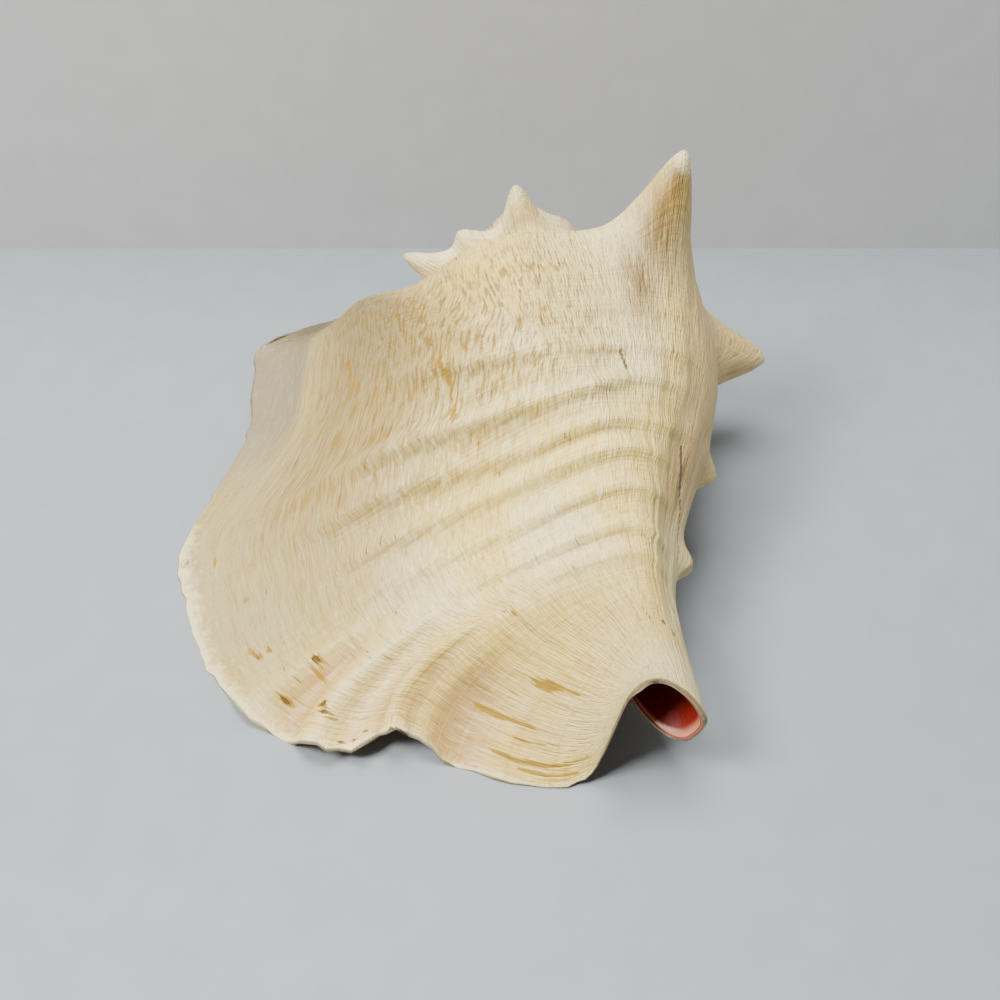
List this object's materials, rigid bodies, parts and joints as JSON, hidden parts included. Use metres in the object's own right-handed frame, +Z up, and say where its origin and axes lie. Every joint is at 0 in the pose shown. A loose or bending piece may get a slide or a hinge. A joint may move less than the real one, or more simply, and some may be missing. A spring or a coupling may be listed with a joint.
{
  "type": "conch shell",
  "caption": "Large spiral sea shell with a flared lip, lying on its aperture, with a pointed spire, shoulder spines and an open siphonal canal.",
  "frame": {"origin": "middle of the footprint box, on the surface that the shell lies on", "axes": "+Z up; +Y towards the spire, so the canal is at -Y; -X towards the flared lip"},
  "size_m": [0.2215, 0.2284, 0.1323],
  "materials": {
    "shell": "satin"
  },
  "bodies": {
    "root": {"shell": "shell"}
  },
  "joints": []
}
